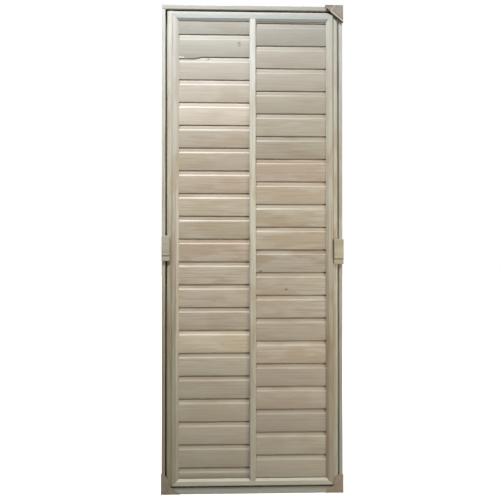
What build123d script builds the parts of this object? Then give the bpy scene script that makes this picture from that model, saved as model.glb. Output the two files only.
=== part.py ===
# Sauna door block of lime wood, still in its delivery packing.
# A box frame of two jambs, a head and a sill holds one solid leaf. The leaf is a framework of grooveless
# stiles and rails with a thin tongue all round, clad on both faces with horizontal shadow-gap lining in
# two staggered columns, and edged with mitred trims and one strip down the middle.
# Two offcuts of the same lining lie over the gap at mid height, and folded card guards three corners.
# Frame: X to the right, Y away from the viewer, Z up. The origin is the middle of the sill's underside.
# All sizes are in millimetres.
from build123d import *
import os

os.makedirs("parts", exist_ok=True)

# Box frame
frame_width = 700.0
frame_height = 1890.0
frame_depth = 46.0
jamb_thickness = 13.0
head_height = 17.0
sill_height = 25.0
frame_edge_ease = 1.5

# Running gaps round the leaf
latch_gap = 6.8
hinge_gap = 5.6
head_gap = 7.0
sill_gap = 5.0
stop_gap = 1.0

# Leaf framework
core_thickness = 20.0
stile_tongue = 40.0
rail_tongue = 35.0
muntin_width = 60.0
leaf_bevel_width = 5.5
leaf_bevel_depth = 3.0

# Trims on the leaf
trim_width = 28.0
trim_thickness = 8.0
trim_bevel_width = 9.5
trim_bevel_depth = 6.0
trim_edge_ease = 3.5
side_band = 17.5
top_band = 10.0
bottom_band = 1.5
rib_under_trim = 6.0
strip_width = 25.0
strip_edge_ease = 3.5
rear_trim_width = 60.0
stop_overlap = 8.5
knuckle_to_trim = 5.5

# Shadow-gap lining board, drawn from its lower edge
board_thickness = 13.0
board_cover = 88.0
board_joint_gap = 0.1
board_face = 66.0
board_bevel_height = 6.0
board_shelf_depth = 3.5
board_tongue_length = 8.0
board_tongue_thickness = 3.8
board_groove_play = 0.2
board_lip_ease = 1.0
board_end_gap = 0.5
left_joint_height = 103.2
right_joint_height = 149.6
column_gap = 2.0

# Offcuts that hold the leaf shut in transport
left_batten_length = 30.5
right_batten_length = 33.5
left_batten_below_middle = 47.0
right_batten_below_middle = 59.0
right_batten_overhang = 3.0
batten_face = 73.0
batten_bevel_height = 5.0

# Folded card guards
card = 2.0
guard_flap_depth = 43.0
top_guard_width = 70.0
top_guard_height = 67.0
top_guard_tip = 9.0
top_guard_fold_top = 32.0
top_guard_fold_share = 0.28
top_guard_standoff = 9.0
top_guard_lining_reach = 4.0
lower_left_guard = [(0, 77), (12, 77), (24, 61), (36, 38), (37, 27), (73, 3), (73, 0)]
lower_right_guard = [(0, 70), (21, 68), (30, 62), (35, 50), (36, 30), (57, 22), (66, 7), (68, 0)]

# Butt hinges
hinge_height = 100.0
hinge_plate = 2.0
hinge_plate_depth = 25.0
hinge_knuckle_radius = 5.0
hinge_pin_radius = 2.4
hinge_pin_play = 0.1
hinge_pin_head_radius = 4.0
hinge_pin_head_height = 2.0
hinge_knuckle_gap = 0.3
hinge_knuckles = 5
hinge_axis_behind_leaf = 6.0
hinge_inset = 222.0

# Places that follow from the sizes
frame_right = frame_width / 2
frame_front = -frame_depth / 2
frame_rear = frame_depth / 2
opening_right = frame_right - jamb_thickness
opening_top = frame_height - head_height
leaf_left = -opening_right + latch_gap
leaf_right = opening_right - hinge_gap
leaf_foot = sill_height + sill_gap
leaf_top = opening_top - head_gap
leaf_front = frame_front + stop_gap
core_front = leaf_front + board_thickness
core_rear = core_front + core_thickness
leaf_rear = core_rear + board_thickness
leaf_middle = (leaf_left + leaf_right) / 2
trim_left = leaf_left + side_band
trim_right = leaf_right - side_band
trim_foot = leaf_foot + bottom_band
trim_top = leaf_top - top_band
rib_left = trim_left + rib_under_trim
rib_right = trim_right - rib_under_trim
rib_foot = trim_foot + rib_under_trim
rib_top = trim_top - rib_under_trim
tongue_left = rib_left + stile_tongue
tongue_right = rib_right - stile_tongue
tongue_foot = rib_foot + rail_tongue
tongue_top = rib_top - rail_tongue
hinge_axis_x = (leaf_right + opening_right) / 2
hinge_axis_y = leaf_rear + hinge_axis_behind_leaf
rear_trim_right = hinge_axis_x - hinge_knuckle_radius - knuckle_to_trim
rear_trim_left = -opening_right - stop_overlap
rear_trim_foot = sill_height - stop_overlap
rear_trim_top = opening_top + stop_overlap
board_pitch = board_cover + board_joint_gap
left_batten_foot = frame_height / 2 - left_batten_below_middle
right_batten_foot = frame_height / 2 - right_batten_below_middle
batten_end = frame_right + right_batten_overhang


def block(x_range, y_range, z_range):
    """A square-edged block between two values on each axis."""
    ranges = (x_range, y_range, z_range)
    middle = [(low + high) / 2 for low, high in ranges]
    size = [high - low for low, high in ranges]
    return Pos(*middle) * Box(*size)


def bar_along_x(outline, x_start, x_end):
    """A straight bar whose section is a closed outline of (y, z) points."""
    section = make_face(Polyline(*outline, close=True))
    return extrude(Plane.YZ.offset(x_start) * section, amount=x_end - x_start)


def bar_along_z(outline, z_start, z_end):
    """A straight upright whose section is a closed outline of (x, y) points."""
    section = make_face(Polyline(*outline, close=True))
    return extrude(Plane.XY.offset(z_start) * section, amount=z_end - z_start)


def plate_facing_y(outline, y_start, y_end):
    """A flat plate whose front view is a closed outline of (x, z) points."""
    section = make_face(Polyline(*outline, close=True))
    return extrude(Plane.XZ.offset(-y_end) * section, amount=y_end - y_start)


def mirrored(shape, x_middle):
    """The same shape on the other side of an upright plane at x_middle."""
    return shape.mirror(Plane.YZ.offset(x_middle))


def save(node, *solids):
    """Write one node, joined from the separate solids that it holds."""
    shape = solids[0] if len(solids) == 1 else Compound(list(solids))
    export_step(shape, f"parts/{node}.step")


# Box frame

def make_jamb():
    """The left jamb, with its two front edges eased."""
    outer = -frame_right
    inner = -opening_right
    outline = [
        (outer, frame_rear),
        (outer, frame_front + frame_edge_ease),
        (outer + frame_edge_ease, frame_front),
        (inner - frame_edge_ease, frame_front),
        (inner, frame_front + frame_edge_ease),
        (inner, frame_rear),
    ]
    return bar_along_z(outline, sill_height, opening_top)


def make_crosspiece(z_low, z_high):
    """The head or the sill, which runs the whole width over the ends of the jambs."""
    outline = [
        (frame_rear, z_low),
        (frame_rear, z_high),
        (frame_front + frame_edge_ease, z_high),
        (frame_front, z_high - frame_edge_ease),
        (frame_front, z_low + frame_edge_ease),
        (frame_front + frame_edge_ease, z_low),
    ]
    return bar_along_x(outline, -frame_right, frame_right)


# Leaf framework

def make_stile():
    """The left stile: a full-depth outer rib and a thin tongue that carries the ends of the boards."""
    outline = [
        (leaf_left, leaf_rear),
        (leaf_left, leaf_front + leaf_bevel_depth),
        (leaf_left + leaf_bevel_width, leaf_front),
        (rib_left, leaf_front),
        (rib_left, core_front),
        (tongue_left, core_front),
        (tongue_left, core_rear),
        (rib_left, core_rear),
        (rib_left, leaf_rear),
    ]
    return bar_along_z(outline, leaf_foot, leaf_top)


def make_rail(z_outer, z_rib, z_tongue):
    """A rail with the stile's section. Its ribs run on over the tongues of the stiles as cheeks."""
    z_eased = z_outer + leaf_bevel_width * (1 if z_rib > z_outer else -1)
    middle = block((tongue_left, tongue_right), (core_front, core_rear),
                   (min(z_outer, z_tongue), max(z_outer, z_tongue)))
    front_rib = bar_along_x([(core_front, z_outer), (leaf_front + leaf_bevel_depth, z_outer),
                             (leaf_front, z_eased), (leaf_front, z_rib), (core_front, z_rib)],
                            rib_left, rib_right)
    rear_rib = block((rib_left, rib_right), (core_rear, leaf_rear),
                     (min(z_outer, z_rib), max(z_outer, z_rib)))
    return middle + front_rib + rear_rib


def make_muntin():
    """The upright in the middle of the core, which the inner ends of the boards are nailed to."""
    half = muntin_width / 2
    return block((leaf_middle - half, leaf_middle + half), (core_front, core_rear), (tongue_foot, tongue_top))


# Lining

def board_outline(face_y, inward, foot, upward=1, face=board_face, bevel_height=board_bevel_height):
    """Section of a lining board as (y, z) points. A front board goes inward along +Y, a rear one along -Y."""
    tongue_depth = board_shelf_depth + board_tongue_thickness
    groove_front = board_shelf_depth - board_groove_play
    groove_rear = tongue_depth + board_groove_play
    groove_top = board_tongue_length + board_groove_play
    tip = board_cover + board_tongue_length
    points = [
        (0, board_lip_ease),
        (0, face),
        (board_shelf_depth, face + bevel_height),
        (board_shelf_depth, tip),
        (tongue_depth, tip),
        (tongue_depth, board_cover),
        (board_thickness, board_cover),
        (board_thickness, 0),
        (groove_rear, 0),
        (groove_rear, groove_top),
        (groove_front, groove_top),
        (groove_front, 0),
        (board_lip_ease, 0),
    ]
    return [(face_y + inward * depth, foot + upward * height) for depth, height in points]


def make_column(x_start, x_end, face_y, inward, first_joint):
    """One column of boards between the ribs of the two rails. The lowest and the highest are sawn to fit."""
    zone_foot = rib_foot + board_end_gap
    zone_top = rib_top - board_end_gap
    column = block((x_start, x_end), (leaf_front, leaf_rear), (zone_foot, zone_top))
    foot = first_joint - board_pitch
    boards = []
    while foot < zone_top:
        board = bar_along_x(board_outline(face_y, inward, foot), x_start, x_end)
        reach = foot + board_cover + board_tongue_length
        if foot < zone_foot or reach > zone_top:
            boards.extend((board & column).solids())
        else:
            boards.append(board)
        foot += board_pitch
    return boards


# Trims

def trim_section(width):
    """Section of a trim lying on the leaf, as (proud, across) points with across = 0 at its outer edge."""
    return [
        (0, 0),
        (trim_thickness - trim_edge_ease, 0),
        (trim_thickness, trim_edge_ease),
        (trim_thickness, width - trim_bevel_width),
        (trim_thickness - trim_bevel_depth, width),
        (0, width),
    ]


def make_trims(left, right, foot, top, width, face_y, outward):
    """Four mitred trims round a rectangle, each turned so that its bevelled edge faces the middle."""
    middle_x = (left + right) / 2
    middle_z = (foot + top) / 2
    half_width = (right - left) / 2
    half_height = (top - foot) / 2
    sides = {"bottom": (0, half_width, half_height), "left": (90, half_height, half_width),
             "top": (180, half_width, half_height), "right": (-90, half_height, half_width)}
    trims = {}
    for side, (turn, half_length, out) in sides.items():
        outline = [(outward * proud, across - out) for proud, across in trim_section(width)]
        bar = bar_along_x(outline, -half_length, half_length)
        mitres = plate_facing_y([(-half_length, -out), (half_length, -out),
                                 (half_length - width, width - out), (width - half_length, width - out)],
                                -trim_thickness, trim_thickness)
        trims[side] = Pos(middle_x, face_y, middle_z) * Rot(0, turn, 0) * (bar & mitres)
    return trims


def make_strip(face_y, outward, foot, top, trims):
    """The strip over the meeting ends of the boards, scribed over the bevels of the trims."""
    half = strip_width / 2
    outline = [
        (leaf_middle - half, face_y),
        (leaf_middle - half, face_y + outward * (trim_thickness - strip_edge_ease)),
        (leaf_middle - half + strip_edge_ease, face_y + outward * trim_thickness),
        (leaf_middle + half - strip_edge_ease, face_y + outward * trim_thickness),
        (leaf_middle + half, face_y + outward * (trim_thickness - strip_edge_ease)),
        (leaf_middle + half, face_y),
    ]
    strip = bar_along_z(outline, foot - trim_bevel_width, top + trim_bevel_width)
    return strip - trims["bottom"] - trims["top"]


# Packing

def make_batten(x_start, x_end, foot):
    """An offcut of wider-faced lining, tongue down, face to the front, lying on the jamb and over the leaf."""
    top = foot + board_cover + board_tongue_length
    outline = board_outline(frame_front - board_thickness, 1, top, -1, batten_face, batten_bevel_height)
    return bar_along_x(outline, x_start, x_end)


def make_side_flap(x_start, front, foot, top):
    """The flap of a guard that is folded back along the outer side of the jamb."""
    rear = front + guard_flap_depth
    slant = (top - foot) / 3
    outline = [(front, foot), (front, top), (rear, top), (rear, foot + slant)]
    return bar_along_x(outline, x_start, x_start + card)


def make_lower_guard(outline, side):
    """A lower corner guard: a cut front flap and a side flap. The side is -1 on the left and 1 on the right."""
    corner = side * (frame_right + card)
    front = frame_front - card
    points = [(corner, 0)] + [(corner - side * x, z) for x, z in outline]
    front_flap = plate_facing_y(points, front, frame_front)
    side_start = min(corner, corner - side * card)
    return front_flap + make_side_flap(side_start, front, 0, outline[0][1])


def make_top_guard():
    """The top right guard: front, side and top flaps. The front is two layers that bridge the trims' corner: one
    over the whole slanted corner, and one on top of it that ends at a second slanted edge on the left."""
    right = frame_right + card
    top = frame_height + card
    left = right - top_guard_width
    front = frame_front - top_guard_standoff - card * 2
    lining_front = front + card
    reach = top_guard_lining_reach
    slant = top_guard_height - top_guard_tip
    fold_foot = (left + top_guard_width * top_guard_fold_share, top - top_guard_tip - slant * top_guard_fold_share)
    front_flap = plate_facing_y([(right, top), (right - top_guard_fold_top, top), fold_foot,
                                 (right, top - top_guard_height)], front, lining_front)
    lining = plate_facing_y([(right, top), (left, top), (left, top - top_guard_tip),
                             fold_foot, (fold_foot[0], fold_foot[1] - reach),
                             (right, top - top_guard_height - reach)],
                            lining_front, lining_front + card)
    side_flap = make_side_flap(frame_right, front, top - top_guard_height, top)
    top_outline = [(right, front), (right - top_guard_width, front),
                   (right - top_guard_width * 2 / 3, front + guard_flap_depth), (right, front + guard_flap_depth)]
    top_flap = bar_along_z(top_outline, frame_height, top)
    return front_flap + lining + side_flap + top_flap


# Hinges

def make_hinge_plate(middle_z, face_x, toward_axis, first_knuckle):
    """A hinge flap on face_x with every second knuckle, counted up from first_knuckle."""
    foot = middle_z - hinge_height / 2
    step = hinge_height / hinge_knuckles
    plate_end = hinge_axis_y - hinge_knuckle_radius - hinge_knuckle_gap * 2
    plate_x = sorted((face_x, face_x + toward_axis * hinge_plate))
    flap = block(plate_x, (leaf_rear - hinge_plate_depth, plate_end), (foot, foot + hinge_height))
    for index in range(first_knuckle, hinge_knuckles, 2):
        low = foot + index * step + (hinge_knuckle_gap / 2 if index else 0)
        high = foot + (index + 1) * step - (hinge_knuckle_gap / 2 if index < hinge_knuckles - 1 else 0)
        centre = Pos(hinge_axis_x, hinge_axis_y, (low + high) / 2)
        flap += block(plate_x, (plate_end, hinge_axis_y), (low, high))
        flap += centre * Cylinder(hinge_knuckle_radius, high - low)
    bore = Cylinder(hinge_pin_radius + hinge_pin_play, hinge_height)
    return flap - Pos(hinge_axis_x, hinge_axis_y, middle_z) * bore


def make_hinge_pin(middle_z):
    """The pin, with a flat head over the knuckles at both ends."""
    head_offset = (hinge_height + hinge_pin_head_height) / 2
    pin = Cylinder(hinge_pin_radius, hinge_height)
    for offset in (-head_offset, head_offset):
        pin += Pos(0, 0, offset) * Cylinder(hinge_pin_head_radius, hinge_pin_head_height)
    return Pos(hinge_axis_x, hinge_axis_y, middle_z) * pin


# Write the box frame
jamb = make_jamb()
save("jamb_left", jamb)
save("jamb_right", mirrored(jamb, 0))
save("frame_head", make_crosspiece(opening_top, frame_height))
save("frame_sill", make_crosspiece(0, sill_height))

# Write the framework of the leaf
stile = make_stile()
save("stile_left", stile)
save("stile_right", mirrored(stile, leaf_middle))
save("rail_top", make_rail(leaf_top, rib_top, tongue_top))
save("rail_bottom", make_rail(leaf_foot, rib_foot, tongue_foot))
save("muntin", make_muntin())

# Write the lining of both faces
columns = {
    "left": (rib_left + board_end_gap, leaf_middle - column_gap / 2, left_joint_height),
    "right": (leaf_middle + column_gap / 2, rib_right - board_end_gap, right_joint_height),
}
for column_name, (x_start, x_end, first_joint) in columns.items():
    save(f"front_boards_{column_name}", *make_column(x_start, x_end, leaf_front, 1, first_joint))
    save(f"rear_boards_{column_name}", *make_column(x_start, x_end, leaf_rear, -1, first_joint))

# Write the trims and the middle strips of both faces
front_trims = make_trims(trim_left, trim_right, trim_foot, trim_top, trim_width, leaf_front, -1)
rear_trims = make_trims(rear_trim_left, rear_trim_right, rear_trim_foot, rear_trim_top,
                        rear_trim_width, leaf_rear, 1)
for side_name, trim in front_trims.items():
    save(f"front_trim_{side_name}", trim)
for side_name, trim in rear_trims.items():
    save(f"rear_trim_{side_name}", trim)
save("front_middle_strip", make_strip(leaf_front, -1, trim_foot + trim_width, trim_top - trim_width, front_trims))
save("rear_middle_strip", make_strip(leaf_rear, 1, rear_trim_foot + rear_trim_width,
                                     rear_trim_top - rear_trim_width, rear_trims))

# Write the packing
save("batten_left", make_batten(-frame_right, left_batten_length - frame_right, left_batten_foot))
save("batten_right", make_batten(frame_right - right_batten_length, batten_end, right_batten_foot))
save("corner_guard_top_right", make_top_guard())
save("corner_guard_bottom_left", make_lower_guard(lower_left_guard, -1))
save("corner_guard_bottom_right", make_lower_guard(lower_right_guard, 1))

# Write the hinges
for hinge_name, hinge_middle in (("lower", leaf_foot + hinge_inset), ("upper", leaf_top - hinge_inset)):
    save(f"hinge_{hinge_name}_jamb_flap", make_hinge_plate(hinge_middle, opening_right, -1, 0))
    save(f"hinge_{hinge_name}_leaf_flap", make_hinge_plate(hinge_middle, leaf_right, 1, 1))
    save(f"hinge_{hinge_name}_pin", make_hinge_pin(hinge_middle))
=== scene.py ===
# Sauna door block of lime wood: the finish of every surface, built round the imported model.
import math
import random

import bmesh
import bpy
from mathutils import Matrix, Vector


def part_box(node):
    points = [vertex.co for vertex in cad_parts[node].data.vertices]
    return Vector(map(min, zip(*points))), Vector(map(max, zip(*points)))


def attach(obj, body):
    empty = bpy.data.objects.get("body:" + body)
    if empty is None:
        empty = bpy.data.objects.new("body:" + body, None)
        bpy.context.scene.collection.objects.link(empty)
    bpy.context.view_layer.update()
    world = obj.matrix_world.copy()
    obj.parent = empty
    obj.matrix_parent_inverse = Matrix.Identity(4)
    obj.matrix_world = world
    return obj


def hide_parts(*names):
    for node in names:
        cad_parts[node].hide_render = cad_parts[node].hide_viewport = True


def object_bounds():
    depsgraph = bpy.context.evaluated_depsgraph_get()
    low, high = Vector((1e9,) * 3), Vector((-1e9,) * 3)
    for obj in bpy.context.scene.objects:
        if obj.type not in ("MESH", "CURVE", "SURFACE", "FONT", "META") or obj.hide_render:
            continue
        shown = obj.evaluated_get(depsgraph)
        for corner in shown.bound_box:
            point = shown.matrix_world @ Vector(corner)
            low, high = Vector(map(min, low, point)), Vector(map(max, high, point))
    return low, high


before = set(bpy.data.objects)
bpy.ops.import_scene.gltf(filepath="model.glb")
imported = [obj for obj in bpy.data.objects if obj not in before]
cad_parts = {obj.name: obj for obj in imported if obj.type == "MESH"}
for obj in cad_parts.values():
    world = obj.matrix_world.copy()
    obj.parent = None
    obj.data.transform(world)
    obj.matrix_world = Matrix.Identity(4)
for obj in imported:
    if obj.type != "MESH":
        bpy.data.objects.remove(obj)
cad_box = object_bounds()

MM = 0.001
CLOSE = 2e-5

# Lining board, drawn from its lower edge as the CAD boards are, with the slot and the softened edges added
BOARD_COVER = 88.0 * MM
BOARD_GAP = 0.1 * MM
BOARD_FACE = 66.0 * MM
BOARD_BEVEL = 6.0 * MM
SHELF_DEPTH = 3.5 * MM
TONGUE_LENGTH = 8.0 * MM
TONGUE_THICKNESS = 3.8 * MM
GROOVE_PLAY = 0.2 * MM
LIP_EASE = 0.5 * MM
SLOT_HEIGHT = 3.1 * MM
SLOT_DEPTH = 2.8 * MM
EDGE_SOFTNESS = 0.5 * MM

# The two columns: the height of the lowest joint of each, how many boards lie in each, and the seeds from
# which the boards' tones are drawn
JOINT_HEIGHTS = {"left": 103.2 * MM, "right": 149.6 * MM}
ROWS = 21
FRONT_SEED = 3
REAR_SEED = 13

# Points along a board: many on the front, whose lower lips are seen to waver, and few on the rear
FRONT_STATIONS = 40
REAR_STATIONS = 8

# The lower lip of a board wavers a little, and that of one board is torn and hangs down at its left end
LIP_ZONE = 3.0 * MM
LIP_WAVES_PER_METRE = 14.0
LIP_UNEVENNESS = 0.8 * MM
TORN_ROW = 19
NO_ROW = -1
TEAR_START = 76.0 * MM
TEAR_WIDTH = 44.0 * MM
TEAR_DROP = 6.5 * MM

# How far sharp edges are rounded over, and the angles in degrees above which an edge is sharp and below which
# two faces are one
WOOD_ROUNDING = 0.7 * MM
CARD_ROUNDING = 0.4 * MM
STEEL_ROUNDING = 0.25 * MM
SHARP_ANGLE = 25.0
FLAT_ANGLE = 1.0

# Screws of a hinge flap, from the flap's foot and front edge
FLAP_THICKNESS = 2.0 * MM
SCREWS_PER_FLAP = 3
SCREW_PITCH = 32.0 * MM
FIRST_SCREW = 18.0 * MM
SCREW_INSET = 11.0 * MM
SCREW_RADIUS = 3.6 * MM
SCREW_HEIGHT = 0.5 * MM

# Marks in the front lining, each (along the board, height, size) in mm
LINING_KNOTS = [(-52, 1744, 5), (-50, 1734, 4), (-169, 1680, 6), (131, 788, 5), (150, 322, 3), (31, 857, 5)]
LINING_CHIPS = [(-279, 1687, 5), (-268, 1686, 4), (-166, 1677, 3)]

# The two creases of the top right guard: its raked edge and the seam of its folded corner, as (x, z) in mm
GUARD_EDGE = ((303.3, 1868.9), (353.7, 1827.1))
GUARD_SEAM = ((320.0, 1892.0), (303.3, 1868.9))
GUARD_FRONT_Y = -35.0

# Heights in mm between which one colour passes into another: a piece's lower tint into its upper one, the
# wood into a painted sheen near the head, and painted shade near the foot into the plain wood
TINT_ZONE = (500.0, 1150.0)
HEAD_SHEEN_ZONE = (1150.0, 1850.0)
FOOT_SHADE_ZONE = (150.0, 750.0)


def even(red, green, blue):
    """A tint that is the same in a piece's lower and upper half."""
    return ((red, green, blue),) * 2


# How far the colour of a piece differs from plain lime, in its lower and in its upper half, as linear
# factors:
# # partly the piece's own tone, and partly painted light, most pieces painted darker low and lighter high as
# the light falls from above
PIECE_TONES_AND_PAINTED_LIGHT = {
    "front_trim_left": ((0.74, 0.79, 0.72), (1.00, 1.06, 1.10)),
    "front_trim_right": ((0.78, 0.71, 0.63), (1.02, 1.06, 1.04)),
    "front_middle_strip": ((1.00, 1.05, 1.07), (1.22, 1.32, 1.38)),
    "front_trim_top": even(0.80, 0.90, 0.98),
    "front_trim_bottom": even(1.24, 1.36, 1.45),
    "stile_left": ((0.82, 0.80, 0.70), (1.25, 1.28, 1.25)),
    "stile_right": ((0.86, 0.97, 1.00), (1.00, 1.09, 1.12)),
    "batten_left": even(0.99, 1.05, 1.06),
    "batten_right": even(0.85, 0.92, 0.88),
    "jamb_left": ((0.60, 0.58, 0.50), (1.03, 1.14, 1.18)),
    "jamb_right": ((0.82, 0.86, 0.86), (0.97, 1.05, 1.08)),
    "frame_sill": even(0.98, 1.08, 1.22),
    "frame_head": even(0.74, 0.79, 0.80),
    "corner_guard_top_right": even(0.78, 0.82, 0.83),
    "corner_guard_bottom_left": even(0.88, 0.87, 0.82),
    "corner_guard_bottom_right": even(0.92, 0.90, 0.84),
}
PLAIN = even(1.0, 1.0, 1.0)
# The boards at the top: a duller tone plus painted shade, standing for the shadow that the top trim casts on
# them
TOP_BOARD = even(0.69, 0.70, 0.68)
NEAR_TOP_BOARD = even(0.80, 0.81, 0.79)
SHADED_BOARD = even(0.83, 0.83, 0.80)

# The topmost board that shows in each column, and the rows from which boards are darkened
TOP_ROWS = {"left": 20, "right": 19}
FIRST_NEAR_TOP_ROW = 19
FIRST_SHADED_ROW = 14

# Single boards, by column and row from the foot, that stand out as paler or darker than their neighbours
ODD_BOARDS = {("front_boards_left", 16): 1.18, ("front_boards_left", 12): 1.15,
              ("front_boards_left", 6): 1.35, ("front_boards_right", 9): 0.8,
              ("front_boards_right", 4): 0.87, ("front_boards_right", 2): 0.86}

# The wooden nodes by the way their grain runs, each under its body
UPRIGHT_NODES = {"frame": ["jamb_left", "jamb_right"],
                 "leaf": ["stile_left", "stile_right", "muntin", "front_trim_left", "front_trim_right",
                          "front_middle_strip", "rear_trim_left", "rear_trim_right", "rear_middle_strip"]}
ACROSS_NODES = {"frame": ["frame_head", "frame_sill", "batten_left", "batten_right"],
                "leaf": ["rail_top", "rail_bottom", "front_trim_top", "front_trim_bottom",
                         "rear_trim_top", "rear_trim_bottom"]}
TONE_SEED = 11

# How far apart in the noise, at most, the patterns of two pieces start, so that no two show the same figure
PATTERN_SHIFT = 4000.0


# Node helpers

def linear(hex_colour):
    """An sRGB hex colour as the linear RGBA that a shader wants."""
    channels = [int(hex_colour[i:i + 2], 16) / 255 for i in (0, 2, 4)]
    return tuple(c / 12.92 if c <= 0.04045 else ((c + 0.055) / 1.055) ** 2.4 for c in channels) + (1.0,)


def add_node(tree, kind, inputs=(), **settings):
    """Add one node, set its properties, and fill each input with a value or with a socket to link."""
    node = tree.nodes.new(kind)
    for name, value in settings.items():
        setattr(node, name, value)
    for key, value in dict(inputs).items():
        if isinstance(value, bpy.types.NodeSocket):
            tree.links.new(value, node.inputs[key])
        else:
            node.inputs[key].default_value = value
    return node


def blend_colour(tree, factor, first, second, how="MIX"):
    """The colour between two colours or sockets."""
    return add_node(tree, "ShaderNodeMix", {0: factor, 6: first, 7: second},
                    data_type="RGBA", blend_type=how).outputs[2]


def maths(tree, how, first, second=0.0, third=0.0):
    """One arithmetic step on two or three values."""
    return add_node(tree, "ShaderNodeMath", {0: first, 1: second, 2: third}, operation=how).outputs[0]


def ramp_up(tree, value, low, high):
    """Smoothly from 0 below low to 1 above high."""
    return add_node(tree, "ShaderNodeMapRange", {"Value": value, "From Min": low, "From Max": high},
                    interpolation_type="SMOOTHSTEP").outputs[0]


def ramp_down(tree, value, low, high):
    """Smoothly from 1 below low to 0 above high."""
    return maths(tree, "SUBTRACT", 1.0, ramp_up(tree, value, low, high))


def vector_step(tree, how, first, second):
    """One step on two vectors, such as their difference."""
    return add_node(tree, "ShaderNodeVectorMath", {0: first, 1: second}, operation=how).outputs


def scaled(tree, vector, factor):
    """A vector or colour times a number."""
    return add_node(tree, "ShaderNodeVectorMath", {0: vector, 3: factor}, operation="SCALE").outputs[0]


def place_in_mm(tree):
    """Where a point is on its finished piece, in mm."""
    return scaled(tree, add_node(tree, "ShaderNodeTexCoord").outputs["Object"], 1 / MM)


def piece_tint(tree, height):
    """The tint that a piece was given, from its lower one to its upper one: partly its own tone, partly
    painted light.
    """
    low, high = (add_node(tree, "ShaderNodeAttribute", attribute_name=f"tint_{end}").outputs["Color"]
                 for end in ("low", "high"))
    return blend_colour(tree, ramp_up(tree, height, *TINT_ZONE), low, high)


def seen_rays(tree):
    """1 for the rays that show a background: the camera's own, and those off metal and through glass."""
    rays = add_node(tree, "ShaderNodeLightPath").outputs
    seen = maths(tree, "MAXIMUM", rays["Is Camera Ray"], rays["Is Glossy Ray"])
    return maths(tree, "MAXIMUM", seen, rays["Is Transmission Ray"])


def new_material(name):
    """An empty material with its surface shader and output."""
    material = bpy.data.materials.new(name)
    material.use_nodes = True
    tree = material.node_tree
    tree.nodes.clear()
    surface = tree.nodes.new("ShaderNodeBsdfPrincipled")
    output = tree.nodes.new("ShaderNodeOutputMaterial")
    tree.links.new(surface.outputs[0], output.inputs[0])
    return material, tree, surface


# Materials

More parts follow.
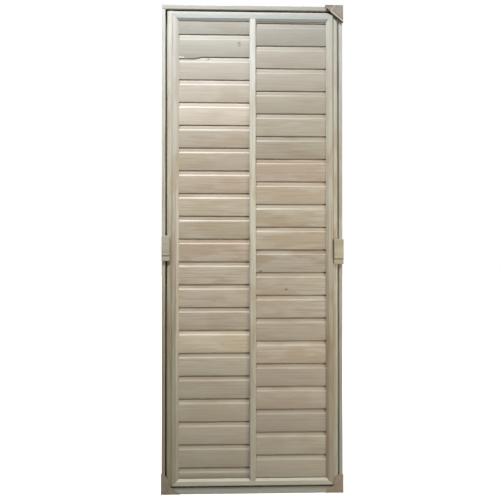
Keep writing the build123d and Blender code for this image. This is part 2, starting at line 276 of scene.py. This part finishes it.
def planed_lime(name, grain_up, knots=(), chips=()):
    """Lime wood, planed and left bare: even, pale and silky, with soft clouds and faint streaks along the
    grain, each piece of a slightly different tone, from greenish grey to pinkish beige. Near its head the
    door is painted paler and greyer, a painted sheen of light reflected from above, and near its foot it is
    painted darker, as painted shade. Knots are small and dark, chips are raw and pale; each is (along,
    across, size) in mm. The fibres are drawn coarser than real ones, about 1 mm wide, so that they show."""
    material, tree, surface = new_material(name)
    axes = add_node(tree, "ShaderNodeSeparateXYZ", {0: place_in_mm(tree)}).outputs
    along, across = (axes[2], axes[0]) if grain_up else (axes[0], axes[2])
    tone = add_node(tree, "ShaderNodeAttribute", attribute_name="tone").outputs["Fac"]
    chance = add_node(tree, "ShaderNodeTexWhiteNoise", {"W": tone}, noise_dimensions="1D").outputs["Color"]
    to_pink, to_green, to_light = add_node(tree, "ShaderNodeSeparateColor", {0: chance}).outputs
    slide = maths(tree, "MULTIPLY", tone, PATTERN_SHIFT)

    def streaks(length, width, detail, roughness=0.55):
        """Noise drawn out along the grain, with streaks of a length and width in mm."""
        long_place = maths(tree, "MULTIPLY_ADD", along, 1 / length, slide)
        wide_place = maths(tree, "MULTIPLY", across, 1 / width)
        deep_place = maths(tree, "MULTIPLY", axes[1], 1 / width)
        vector = add_node(tree, "ShaderNodeCombineXYZ", {0: long_place, 1: wide_place, 2: deep_place})
        return add_node(tree, "ShaderNodeTexNoise", {"Vector": vector.outputs[0], "Scale": 1.0,
                        "Detail": detail, "Roughness": roughness}).outputs["Fac"]

    clouds = streaks(150.0, 45.0, 2.0)
    bands = streaks(190.0, 5.5, 3.0)
    fibres = streaks(45.0, 0.9, 4.0, 0.6)
    base = blend_colour(tree, ramp_up(tree, clouds, 0.41, 0.61), linear("A89F8D"), linear("98866F"))
    base = blend_colour(tree, maths(tree, "MULTIPLY", to_pink, 0.65), base, linear("A49180"))
    base = blend_colour(tree, maths(tree, "MULTIPLY", to_green, 0.65), base, linear("98927E"))
    streaked = maths(tree, "MULTIPLY", ramp_up(tree, bands, 0.45, 0.68), 0.5)
    base = blend_colour(tree, streaked, base, linear("837059"))
    # Painted sheen: towards the head the wood is painted paler and greyer, standing for light reflected off
    # it from above
    painted_sheen = maths(tree, "MULTIPLY", ramp_up(tree, axes[2], *HEAD_SHEEN_ZONE), 0.6)
    base = blend_colour(tree, painted_sheen, base, linear("A4A19B"))
    # Painted shade: towards the foot the wood is painted darker, where less light falls
    painted_foot_shade = maths(tree, "MULTIPLY", ramp_down(tree, axes[2], *FOOT_SHADE_ZONE), 0.55)
    base = blend_colour(tree, painted_foot_shade, base, linear("908A78"))
    light = maths(tree, "MULTIPLY_ADD", to_light, 0.16, 0.93)
    light = maths(tree, "MULTIPLY_ADD", ramp_up(tree, fibres, 0.3, 0.7), 0.1, light)
    # The piece's tint: partly its own tone, partly painted light, darker low and lighter high
    base = blend_colour(tree, 1.0, scaled(tree, base, light), piece_tint(tree, axes[2]), "MULTIPLY")

    def span_from(mark_along, mark_across, size):
        """How far a point is from a mark, in sizes of the mark, drawn out along the grain and ragged."""
        run = maths(tree, "MULTIPLY", maths(tree, "SUBTRACT", along, mark_along), 0.55 / size)
        rise = maths(tree, "MULTIPLY", maths(tree, "SUBTRACT", across, mark_across), 1 / size)
        square = maths(tree, "MULTIPLY_ADD", run, run, maths(tree, "MULTIPLY", rise, rise))
        ragged = maths(tree, "MULTIPLY_ADD", fibres, 0.5, -0.25)
        return maths(tree, "ADD", maths(tree, "SQRT", square), ragged)

    def stained(colour, mark_span, low, high, strength, stain):
        """A colour stained where the span from a mark is small."""
        amount = maths(tree, "MULTIPLY", ramp_down(tree, mark_span, low, high), strength)
        return blend_colour(tree, amount, colour, linear(stain))

    for mark in knots:
        span = span_from(*mark)
        base = stained(base, span, 0.5, 1.6, 0.4, "8A7257")
        base = stained(base, span, 0.25, 0.6, 0.9, "3A2C22")
    for mark in chips:
        base = stained(base, span_from(*mark), 0.4, 0.8, 0.85, "DCCFC6")
    tree.links.new(base, surface.inputs["Base Color"])
    tree.links.new(maths(tree, "MULTIPLY_ADD", fibres, 0.16, 0.38), surface.inputs["Roughness"])
    surface.inputs["Specular IOR Level"].default_value = 0.5
    relief = maths(tree, "MULTIPLY_ADD", bands, 0.6, fibres)
    bump = add_node(tree, "ShaderNodeBump", {"Height": relief, "Strength": 0.25, "Distance": 0.15 * MM})
    tree.links.new(bump.outputs[0], surface.inputs["Normal"])
    return material


def folded_card(name, edge=None, seam=None):
    """Brown corrugated card, scored and folded: dull, fibrous, with the flutes showing through as faint bars.
    Along the edge and the seam a pale line is painted, partly the paler cut liner and partly a painted
    highlight where the edges catch the light; under the edge the card is painted dark, painted shade standing
    for the shadow of the flap that stands off the frame."""
    material, tree, surface = new_material(name)
    in_mm = place_in_mm(tree)
    axes = add_node(tree, "ShaderNodeSeparateXYZ", {0: in_mm}).outputs
    flutes = add_node(tree, "ShaderNodeTexWave", {"Vector": in_mm, "Scale": 0.05, "Distortion": 1.2,
                      "Detail": 1.0, "Detail Scale": 0.4},
                      wave_type="BANDS", bands_direction="Z").outputs["Fac"]
    clouds = add_node(tree, "ShaderNodeTexNoise", {"Vector": in_mm, "Scale": 0.045,
                      "Detail": 3.0}).outputs["Fac"]
    specks = add_node(tree, "ShaderNodeTexNoise", {"Vector": in_mm, "Scale": 0.9, "Detail": 4.0,
                      "Roughness": 0.7}).outputs["Fac"]
    base = blend_colour(tree, ramp_up(tree, clouds, 0.3, 0.7), linear("8F8072"), linear("9C9184"))
    base = blend_colour(tree, maths(tree, "MULTIPLY", flutes, 0.18), base, linear("7C6D60"))
    specked = maths(tree, "MULTIPLY", ramp_up(tree, specks, 0.55, 0.75), 0.5)
    base = blend_colour(tree, specked, base, linear("75675B"))
    base = blend_colour(tree, 1.0, base, piece_tint(tree, axes[2]), "MULTIPLY")

    front_place = add_node(tree, "ShaderNodeCombineXYZ", {0: axes[0], 1: axes[2]}).outputs[0]
    if edge:
        start, end = (Vector((*point, 0)) for point in edge)
        down = Vector((end.y - start.y, start.x - end.x, 0)).normalized()
        offset = vector_step(tree, "SUBTRACT", front_place, start)[0]
        past = vector_step(tree, "DOT_PRODUCT", offset, down)["Value"]
        # Painted shade: the card beyond the raked edge, under the flap, is painted dark, standing for the
        # flap's shadow
        under = maths(tree, "MULTIPLY", ramp_up(tree, past, 0.1, 0.5), 0.85)
        base = blend_colour(tree, under, base, linear("3B3226"))
    on_front = maths(tree, "LESS_THAN", axes[1], GUARD_FRONT_Y)
    for line in filter(None, (edge, seam)):
        start, end = (Vector((*point, 0)) for point in line)
        run = end - start
        offset = vector_step(tree, "SUBTRACT", front_place, start)[0]
        share = maths(tree, "MULTIPLY", vector_step(tree, "DOT_PRODUCT", offset, run)["Value"],
                      1 / run.length_squared)
        share = maths(tree, "MINIMUM", maths(tree, "MAXIMUM", share, 0.0), 1.0)
        gap = vector_step(tree, "DISTANCE", offset, scaled(tree, run, share))["Value"]
        # A pale line along the edge and the seam: partly the paler cut liner, partly a painted highlight
        # where the edges catch the light
        liner_and_highlight = maths(tree, "MULTIPLY", ramp_down(tree, gap, 1.0, 2.0), on_front)
        base = blend_colour(tree, maths(tree, "MULTIPLY", liner_and_highlight, 0.8), base, linear("C9C0AE"))
    tree.links.new(base, surface.inputs["Base Color"])
    surface.inputs["Roughness"].default_value = 0.85
    surface.inputs["Specular IOR Level"].default_value = 0.2
    relief = maths(tree, "MULTIPLY_ADD", flutes, 0.6, specks)
    bump = add_node(tree, "ShaderNodeBump", {"Height": relief, "Strength": 0.3, "Distance": 0.25 * MM})
    tree.links.new(bump.outputs[0], surface.inputs["Normal"])
    return material


def zinc_plated_steel():
    """Pressed steel with bright zinc plating: a cool metal, slightly mottled in colour and in gloss."""
    material, tree, surface = new_material("zinc_plated_steel")
    mottle = add_node(tree, "ShaderNodeTexNoise", {"Vector": place_in_mm(tree), "Scale": 0.12,
                      "Detail": 3.0}).outputs["Fac"]
    base = blend_colour(tree, ramp_up(tree, mottle, 0.35, 0.65), linear("C4C6C6"), linear("B2B2AC"))
    tree.links.new(base, surface.inputs["Base Color"])
    surface.inputs["Metallic"].default_value = 1.0
    tree.links.new(maths(tree, "MULTIPLY_ADD", mottle, 0.2, 0.24), surface.inputs["Roughness"])
    return material


# Mesh helpers

def finished_mesh(piece):
    """Turn a piece's modifiers into plain mesh, so that nothing on it is live any more."""
    evaluated = piece.evaluated_get(bpy.context.evaluated_depsgraph_get())
    mesh = bpy.data.meshes.new_from_object(evaluated)
    piece.modifiers.clear()
    piece.data = mesh
    return piece


def set_tone(mesh, value):
    """Give every point of a piece its own number, which its wood tone is drawn from."""
    tone = mesh.attributes.new("tone", "FLOAT", "POINT")
    tone.data.foreach_set("value", [value] * len(mesh.vertices))


def set_tints(mesh, tints_by_point):
    """Give each point the lower and the upper tint of its piece."""
    for index, end in enumerate(("low", "high")):
        tint = mesh.attributes.new(f"tint_{end}", "FLOAT_COLOR", "POINT")
        tint.data.foreach_set("color", [c for tints in tints_by_point for c in (*tints[index], 1.0)])


def dress(piece, body, material):
    """Give a finished piece its material, body and slot."""
    piece.data.materials.clear()
    piece.data.materials.append(material)
    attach(piece, body)


def soften(node, body, material, width, tone=None):
    """A copy of a CAD node with its sharp edges rounded over, which stands for it."""
    build = bmesh.new()
    build.from_mesh(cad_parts[node].data)
    bmesh.ops.remove_doubles(build, verts=build.verts, dist=CLOSE)
    bmesh.ops.dissolve_limit(build, angle_limit=math.radians(FLAT_ANGLE), verts=build.verts,
                             edges=build.edges)
    mesh = bpy.data.meshes.new(f"{node}_finish")
    build.to_mesh(mesh)
    build.free()
    piece = bpy.data.objects.new(f"{node}_finish", mesh)
    bpy.context.scene.collection.objects.link(piece)
    rounding = piece.modifiers.new("rounding", "BEVEL")
    rounding.width = width
    rounding.segments = 2
    rounding.limit_method = "ANGLE"
    rounding.angle_limit = math.radians(SHARP_ANGLE)
    finished_mesh(piece)
    if tone is not None:
        set_tone(piece.data, tone)
    set_tints(piece.data, [PIECE_TONES_AND_PAINTED_LIGHT.get(node, PLAIN)] * len(piece.data.vertices))
    dress(piece, body, material)
    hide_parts(node)


def group_with_inputs(name, sockets):
    """An empty Geometry Nodes tree with named inputs. Sockets are (name, kind)."""
    tree = bpy.data.node_groups.new(name, "GeometryNodeTree")
    tree.interface.new_socket("Geometry", in_out="INPUT", socket_type="NodeSocketGeometry")
    for socket_name, kind in sockets:
        tree.interface.new_socket(socket_name, in_out="INPUT", socket_type=f"NodeSocket{kind}")
    tree.interface.new_socket("Geometry", in_out="OUTPUT", socket_type="NodeSocketGeometry")
    return tree, tree.nodes.new("NodeGroupInput").outputs, tree.nodes.new("NodeGroupOutput")


def run_group(name, tree, values, mesh=None):
    """Run a tree on a new object with its inputs set by name, and return the plain result."""
    piece = bpy.data.objects.new(name, mesh or bpy.data.meshes.new(name))
    bpy.context.scene.collection.objects.link(piece)
    modifier = piece.modifiers.new(name, "NODES")
    identifiers = {item.name: item.identifier for item in tree.interface.items_tree if item.in_out == "INPUT"}
    modifier.node_group = tree
    for key, value in values.items():
        modifier[identifiers[key]] = value
    bpy.context.view_layer.update()
    return finished_mesh(piece)


# Wooden framework, frame and trims

def make_woodwork(upright, across):
    """Every wooden node apart from the lining, each piece of its own tone."""
    tones = random.Random(TONE_SEED)
    for nodes_by_body, wood in ((UPRIGHT_NODES, upright), (ACROSS_NODES, across)):
        for body, nodes in nodes_by_body.items():
            for node in nodes:
                soften(node, body, wood, WOOD_ROUNDING, tones.random())


# Lining columns, one board repeated up the leaf

def board_section():
    """The closed outline of a board's section as a mesh of edges, with the depth along X and the height along
    Y. A narrow slot under the lip of the next board keeps each joint dark.
    A line along +X carries its profile upside down, so both are drawn negative."""
    low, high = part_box("front_boards_left")
    thickness = high.y - low.y
    tongue_back = SHELF_DEPTH + TONGUE_THICKNESS
    groove_front, groove_back = SHELF_DEPTH - GROOVE_PLAY, tongue_back + GROOVE_PLAY
    groove_top = TONGUE_LENGTH + GROOVE_PLAY
    slot_foot, slot_back = BOARD_COVER - SLOT_HEIGHT, SHELF_DEPTH + SLOT_DEPTH
    tip = BOARD_COVER + TONGUE_LENGTH
    points = [
        (0, LIP_EASE), (0, BOARD_FACE), (SHELF_DEPTH, BOARD_FACE + BOARD_BEVEL),
        (SHELF_DEPTH, slot_foot), (slot_back, slot_foot), (slot_back, BOARD_COVER),
        (SHELF_DEPTH, BOARD_COVER), (SHELF_DEPTH, tip), (tongue_back, tip), (tongue_back, BOARD_COVER),
        (thickness, BOARD_COVER), (thickness, 0), (groove_back, 0), (groove_back, groove_top),
        (groove_front, groove_top), (groove_front, 0), (LIP_EASE, 0),
    ]
    mesh = bpy.data.meshes.new("board_section")
    mesh.from_pydata([(-x, -y, 0) for x, y in points],
                     [(i, (i + 1) % len(points)) for i in range(len(points))], [])
    return mesh


def lining_tree():
    """Boards laid one on the next: a section swept along the board, repeated up the leaf, sawn off level with
    the framework at both ends, with a slightly uneven lower lip that hangs down at one place."""
    tree, given, result = group_with_inputs("lining_boards", [
        ("Start X", "Float"), ("Length", "Float"), ("Stations", "Int"), ("Face Y", "Float"),
        ("Inward", "Float"), ("First Foot", "Float"), ("Pitch", "Float"), ("Count", "Int"),
        ("Zone Foot", "Float"), ("Zone Top", "Float"), ("Unevenness", "Float"), ("Seed", "Int"),
        ("Torn Board", "Int"), ("Tear X", "Float"), ("Tear Width", "Float"), ("Tear Drop", "Float"),
        ("Material", "Material")])
    fillet = add_node(tree, "GeometryNodeFilletCurve", {"Radius": EDGE_SOFTNESS, "Count": 2,
                      "Curve": add_node(tree, "GeometryNodeMeshToCurve", {0: given["Geometry"]}).outputs[0]},
                      mode="POLY")
    end = add_node(tree, "ShaderNodeCombineXYZ", {0: given["Length"]})
    line = add_node(tree, "GeometryNodeCurvePrimitiveLine", {"End": end.outputs[0]})
    stations = add_node(tree, "GeometryNodeResampleCurve", {"Curve": line.outputs[0],
                        "Count": given["Stations"]})
    board = add_node(tree, "GeometryNodeCurveToMesh", {"Curve": stations.outputs[0],
                     "Profile Curve": fillet.outputs[0], "Fill Caps": True})
    step = add_node(tree, "ShaderNodeCombineXYZ", {2: given["Pitch"]})
    first = add_node(tree, "ShaderNodeCombineXYZ", {0: given["Start X"], 1: given["Face Y"],
                     2: given["First Foot"]})
    places = add_node(tree, "GeometryNodeMeshLine", {"Count": given["Count"],
                      "Start Location": first.outputs[0], "Offset": step.outputs[0]})
    row = add_node(tree, "GeometryNodeInputIndex")
    laid = add_node(tree, "GeometryNodeInstanceOnPoints", {"Points": places.outputs[0],
                    "Instance": board.outputs[0]})
    tone = add_node(tree, "FunctionNodeRandomValue", {"ID": row.outputs[0], "Seed": given["Seed"]},
                    data_type="FLOAT")
    toned = add_node(tree, "GeometryNodeStoreNamedAttribute", {"Geometry": laid.outputs[0], "Name": "tone",
                     "Value": tone.outputs[1]}, data_type="FLOAT", domain="INSTANCE")
    numbered = add_node(tree, "GeometryNodeStoreNamedAttribute", {"Geometry": toned.outputs[0], "Name": "row",
                        "Value": row.outputs[0]}, data_type="FLOAT", domain="INSTANCE")
    real = add_node(tree, "GeometryNodeRealizeInstances", {0: numbered.outputs[0]})

    place = add_node(tree, "GeometryNodeInputPosition").outputs[0]
    x, y, z = add_node(tree, "ShaderNodeSeparateXYZ", {0: place}).outputs
    row_read = add_node(tree, "GeometryNodeInputNamedAttribute", {"Name": "row"},
                        data_type="FLOAT").outputs[0]
    foot = maths(tree, "MULTIPLY_ADD", row_read, given["Pitch"], given["First Foot"])
    low = maths(tree, "LESS_THAN", maths(tree, "SUBTRACT", z, foot), LIP_ZONE)
    near = maths(tree, "LESS_THAN", maths(tree, "SUBTRACT", y, given["Face Y"]), SHELF_DEPTH)
    on_lip = maths(tree, "MULTIPLY", low, near)
    waves = add_node(tree, "ShaderNodeTexNoise", {"Vector": place, "Scale": LIP_WAVES_PER_METRE,
                     "Detail": 2.0})
    wavy = maths(tree, "MULTIPLY", maths(tree, "SUBTRACT", waves.outputs[0], 0.5), given["Unevenness"])
    torn_row = maths(tree, "COMPARE", row_read, given["Torn Board"], 0.5)
    share = ramp_down(tree, maths(tree, "SUBTRACT", x, given["Tear X"]), 0.0, given["Tear Width"])
    drop = maths(tree, "MULTIPLY", maths(tree, "MULTIPLY", torn_row, share), given["Tear Drop"])
    shift = maths(tree, "MULTIPLY", on_lip, maths(tree, "SUBTRACT", wavy, drop))
    offset = add_node(tree, "ShaderNodeCombineXYZ", {2: shift})
    uneven = add_node(tree, "GeometryNodeSetPosition", {"Geometry": real.outputs[0],
                      "Offset": offset.outputs[0]})

    place = add_node(tree, "GeometryNodeInputPosition").outputs[0]
    x, y, z = add_node(tree, "ShaderNodeSeparateXYZ", {0: place}).outputs
    level = maths(tree, "MINIMUM", maths(tree, "MAXIMUM", z, given["Zone Foot"]), given["Zone Top"])
    turned = maths(tree, "MULTIPLY_ADD", maths(tree, "SUBTRACT", y, given["Face Y"]), given["Inward"],
                   given["Face Y"])
    sawn = add_node(tree, "ShaderNodeCombineXYZ", {0: x, 1: turned, 2: level})
    cut = add_node(tree, "GeometryNodeSetPosition", {"Geometry": uneven.outputs[0],
                   "Position": sawn.outputs[0]})
    joined = add_node(tree, "GeometryNodeMergeByDistance", {"Geometry": cut.outputs[0], "Distance": CLOSE})
    coated = add_node(tree, "GeometryNodeSetMaterial", {"Geometry": joined.outputs[0],
                      "Material": given["Material"]})
    tree.links.new(coated.outputs[0], result.inputs[0])
    return tree


def board_tint(face, column, row):
    """The boards at the top are darker, partly a duller tone and partly painted shade standing for the shadow
    of the top trim, and so are the next five on the right of the front.
    """
    if row >= TOP_ROWS[column]:
        return TOP_BOARD
    if row >= FIRST_NEAR_TOP_ROW:
        return NEAR_TOP_BOARD
    if (face, column) == ("front", "right") and row >= FIRST_SHADED_ROW:
        return SHADED_BOARD
    factor = ODD_BOARDS.get((f"{face}_boards_{column}", row), 1.0)
    return even(factor, factor, factor)


def make_lining(tree, column, face, seed, stations, material, torn_row=NO_ROW):
    """One column of boards on one face of the leaf."""
    node = f"{face}_boards_{column}"
    low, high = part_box(node)
    front = face == "front"
    pitch = BOARD_COVER + BOARD_GAP
    piece = run_group(f"{face}_lining_{column}", tree, {
        "Start X": low.x, "Length": high.x - low.x, "Stations": stations,
        "Face Y": low.y if front else high.y, "Inward": 1.0 if front else -1.0,
        "First Foot": JOINT_HEIGHTS[column] - pitch, "Pitch": pitch, "Count": ROWS,
        "Zone Foot": low.z, "Zone Top": high.z, "Unevenness": LIP_UNEVENNESS, "Seed": seed,
        "Torn Board": torn_row, "Tear X": low.x + TEAR_START, "Tear Width": TEAR_WIDTH,
        "Tear Drop": TEAR_DROP, "Material": material}, board_section())
    build = bmesh.new()
    build.from_mesh(piece.data)
    bmesh.ops.dissolve_degenerate(build, dist=CLOSE, edges=build.edges)
    bmesh.ops.recalc_face_normals(build, faces=build.faces)
    build.to_mesh(piece.data)
    build.free()
    rows = [0.0] * len(piece.data.vertices)
    piece.data.attributes["row"].data.foreach_get("value", rows)
    set_tints(piece.data, [board_tint(face, column, round(row)) for row in rows])
    dress(piece, "leaf", material)
    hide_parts(node)


def make_linings(front_wood, rear_wood):
    """Both columns on both faces of the leaf."""
    tree = lining_tree()
    for index, column in enumerate(JOINT_HEIGHTS):
        torn_row = TORN_ROW if column == "left" else NO_ROW
        make_lining(tree, column, "front", FRONT_SEED + index, FRONT_STATIONS, front_wood, torn_row)
        make_lining(tree, column, "rear", REAR_SEED + index, REAR_STATIONS, rear_wood)


# Card corner guards

def make_guards():
    """The guard at the top right, with a pale line along its creases, partly paler liner and partly painted
    highlight, and painted shade under its raked edge, and the two at the foot.
    """
    plain_card = folded_card("folded_corrugated_card")
    # The top right guard's card, with a painted highlight along its creases and painted shade under its raked
    # edge
    card_with_painted_edge_light = folded_card("folded_corrugated_card_painted_edge_light", GUARD_EDGE, GUARD_SEAM)
    cards = {"top_right": card_with_painted_edge_light, "bottom_left": plain_card, "bottom_right": plain_card}
    for corner, card in cards.items():
        soften(f"corner_guard_{corner}", "frame", card, CARD_ROUNDING)


# Hinges and the screws in their flaps

def screw_tree():
    """Countersunk screw heads with a cross recess, set along a line of points."""
    tree, given, result = group_with_inputs("hinge_screws", [
        ("Count", "Int"), ("Start", "Vector"), ("Step", "Vector"), ("Turn", "Vector"),
        ("Head Radius", "Float"), ("Head Height", "Float"), ("Material", "Material")])
    head = add_node(tree, "GeometryNodeMeshCone", {"Vertices": 24, "Radius Top": given["Head Radius"],
                    "Radius Bottom": maths(tree, "MULTIPLY", given["Head Radius"], 0.86),
                    "Depth": given["Head Height"]})
    recess_length = maths(tree, "MULTIPLY", given["Head Radius"], 1.1)
    recess_width = maths(tree, "MULTIPLY", given["Head Radius"], 0.22)
    lift = add_node(tree, "ShaderNodeCombineXYZ", {2: maths(tree, "MULTIPLY", given["Head Height"], 0.9)})
    recessed = head.outputs[0]
    for length, width in ((recess_length, recess_width), (recess_width, recess_length)):
        size = add_node(tree, "ShaderNodeCombineXYZ", {0: length, 1: width, 2: given["Head Height"]})
        bar = add_node(tree, "GeometryNodeMeshCube", {"Size": size.outputs[0]})
        cut = add_node(tree, "GeometryNodeTransform", {"Geometry": bar.outputs[0],
                       "Translation": lift.outputs[0]})
        recessed = add_node(tree, "GeometryNodeMeshBoolean", {"Mesh 1": recessed, "Mesh 2": cut.outputs[0]},
                            operation="DIFFERENCE", solver="EXACT").outputs[0]
    places = add_node(tree, "GeometryNodeMeshLine", {"Count": given["Count"],
                      "Start Location": given["Start"], "Offset": given["Step"]})
    turn = add_node(tree, "FunctionNodeEulerToRotation", {0: given["Turn"]})
    laid = add_node(tree, "GeometryNodeInstanceOnPoints", {"Points": places.outputs[0], "Instance": recessed,
                    "Rotation": turn.outputs[0]})
    real = add_node(tree, "GeometryNodeRealizeInstances", {0: laid.outputs[0]})
    coated = add_node(tree, "GeometryNodeSetMaterial", {"Geometry": real.outputs[0],
                      "Material": given["Material"]})
    tree.links.new(coated.outputs[0], result.inputs[0])
    return tree


def make_hinge_screws(tree, hinge, side, steel):
    """The screws in one flap of one hinge, in the gap between the leaf and the jamb."""
    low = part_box(f"hinge_{hinge}_{side}_flap")[0]
    if side == "leaf":
        body, outward = "leaf", 1
        face_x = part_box("stile_right")[1].x + FLAP_THICKNESS
    else:
        body, outward = "frame", -1
        face_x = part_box("jamb_right")[0].x - FLAP_THICKNESS
    piece = run_group(f"hinge_{hinge}_{side}_screws", tree, {
        "Count": SCREWS_PER_FLAP, "Start": (face_x, low.y + SCREW_INSET, low.z + FIRST_SCREW),
        "Step": (0, 0, SCREW_PITCH), "Turn": (0, outward * math.pi / 2, 0), "Head Radius": SCREW_RADIUS,
        "Head Height": SCREW_HEIGHT, "Material": steel})
    dress(piece, body, steel)


def make_hinges(steel):
    """Both hinges: the flaps and the pin with their edges rounded, and the screws in the flaps."""
    tree = screw_tree()
    for hinge in ("lower", "upper"):
        for part, body in (("jamb_flap", "frame"), ("pin", "frame"), ("leaf_flap", "leaf")):
            soften(f"hinge_{hinge}_{part}", body, steel, STEEL_ROUNDING)
        for side in ("jamb", "leaf"):
            make_hinge_screws(tree, hinge, side, steel)


# Room, in metres: how strongly the surround lights the object, and the floor, whose glow grows with the
# distance from the door until it is white
SURROUND_LIGHT = 0.09
FLOOR_SIZE = 60.0
GLOW_RADIUS = (0.7, 2.4)
GLOW_STRENGTH = (0.35, 1.1)


def make_floor():
    """A pale floor. Only what the camera sees of it is bright, and the light that it throws back is low."""
    material, tree, surface = new_material("pale_floor")
    surface.inputs["Roughness"].default_value = 0.9
    surface.inputs["Specular IOR Level"].default_value = 0.1
    seen = seen_rays(tree)
    tree.links.new(blend_colour(tree, seen, linear("6E6E6C"), linear("E6E6E4")), surface.inputs["Base Color"])
    place = add_node(tree, "ShaderNodeTexCoord").outputs["Object"]
    far = add_node(tree, "ShaderNodeVectorMath", {0: place}, operation="LENGTH").outputs["Value"]
    glow = add_node(tree, "ShaderNodeMapRange", {
        "Value": far, "From Min": GLOW_RADIUS[0], "From Max": GLOW_RADIUS[1],
        "To Min": GLOW_STRENGTH[0], "To Max": GLOW_STRENGTH[1]}).outputs[0]
    surface.inputs["Emission Color"].default_value = (1, 1, 1, 1)
    tree.links.new(maths(tree, "MULTIPLY", seen, glow), surface.inputs["Emission Strength"])
    bpy.ops.mesh.primitive_plane_add(size=FLOOR_SIZE)
    floor = bpy.context.object
    floor.name = "floor"
    floor.data.materials.append(material)


def make_surround():
    """A white surround, which is dim for every ray that lights the object."""
    world = bpy.data.worlds.new("surround")
    bpy.context.scene.world = world
    world.use_nodes = True
    tree = world.node_tree
    tree.nodes.clear()
    strength = maths(tree, "MULTIPLY_ADD", seen_rays(tree), 1.0 - SURROUND_LIGHT, SURROUND_LIGHT)
    background = add_node(tree, "ShaderNodeBackground", {"Color": (1, 1, 1, 1), "Strength": strength})
    add_node(tree, "ShaderNodeOutputWorld", {0: background.outputs[0]})


# Lamps. One that shines straight down aims a hair off, which settles how its rectangle is turned.

def add_lamp(name, place, target, size, watts, colour):
    """A soft lamp of a width and depth that points at a target."""
    data = bpy.data.lights.new(name, "AREA")
    data.shape = "RECTANGLE"
    data.size, data.size_y = size
    data.energy = watts
    data.color = linear(colour)[:3]
    lamp = bpy.data.objects.new(name, data)
    lamp.location = place
    lamp.rotation_euler = (Vector(target) - Vector(place)).to_track_quat("-Z", "Y").to_euler()
    bpy.context.scene.collection.objects.link(lamp)


def make_lights():
    """Cool light from above the front, warm light from low on the right, and a lamp above the rear."""
    add_lamp("overhead_lamp", place=(-0.5, -1.35, 3.3), target=(-0.5, -1.349, 0.0), size=(0.9, 0.5),
             watts=132.0, colour="F6FAFF")
    add_lamp("side_lamp", place=(2.05, -1.25, 0.7), target=(0.0, 0.0, 0.5), size=(0.8, 0.8),
             watts=38.0, colour="FFF6E8")
    add_lamp("rear_lamp", place=(0.2, 1.4, 3.0), target=(0.2, 1.399, 0.0), size=(1.2, 0.8),
             watts=80.0, colour="FFFFFF")


# The viewing angle of the photograph, whose frame is 500 by 500 pixels
CAMERA_AZIMUTH = -1.97
CAMERA_ELEVATION = -0.62
CAMERA_DISTANCE = 2.6
CAMERA_FOCAL_PIXELS = 665.5
FRAME_PIXELS = 500.0
AIM_LEFT_OF_MIDDLE = 9.4 * MM
AIM_BELOW_MIDDLE = 5.8 * MM
SENSOR_WIDTH = 36.0


def make_camera():
    """The camera of the photograph, aimed near the middle of the door's front."""
    low, high = cad_box
    middle = (Vector(low) + Vector(high)) / 2
    aim = middle - Vector((AIM_LEFT_OF_MIDDLE, middle.y, AIM_BELOW_MIDDLE))
    azimuth, elevation = math.radians(CAMERA_AZIMUTH), math.radians(CAMERA_ELEVATION)
    away = Vector((math.sin(azimuth) * math.cos(elevation), -math.cos(azimuth) * math.cos(elevation),
                   math.sin(elevation)))
    data = bpy.data.cameras.new("camera")
    data.sensor_fit = "HORIZONTAL"
    data.sensor_width = SENSOR_WIDTH
    data.lens = CAMERA_FOCAL_PIXELS / FRAME_PIXELS * SENSOR_WIDTH
    camera = bpy.data.objects.new("camera", data)
    camera.location = aim + away * CAMERA_DISTANCE
    camera.rotation_euler = (-away).to_track_quat("-Z", "Y").to_euler()
    bpy.context.scene.collection.objects.link(camera)
    bpy.context.scene.camera = camera


make_camera()
make_lights()
make_floor()
make_surround()
bpy.context.scene.view_settings.view_transform = "Standard"

lime_across = planed_lime("planed_lime_grain_across", grain_up=False)
lime_upright = planed_lime("planed_lime_grain_upright", grain_up=True)
lime_lining = planed_lime("planed_lime_front_lining", grain_up=False, knots=LINING_KNOTS, chips=LINING_CHIPS)
make_woodwork(lime_upright, lime_across)
make_linings(lime_lining, lime_across)
make_guards()
make_hinges(zinc_plated_steel())
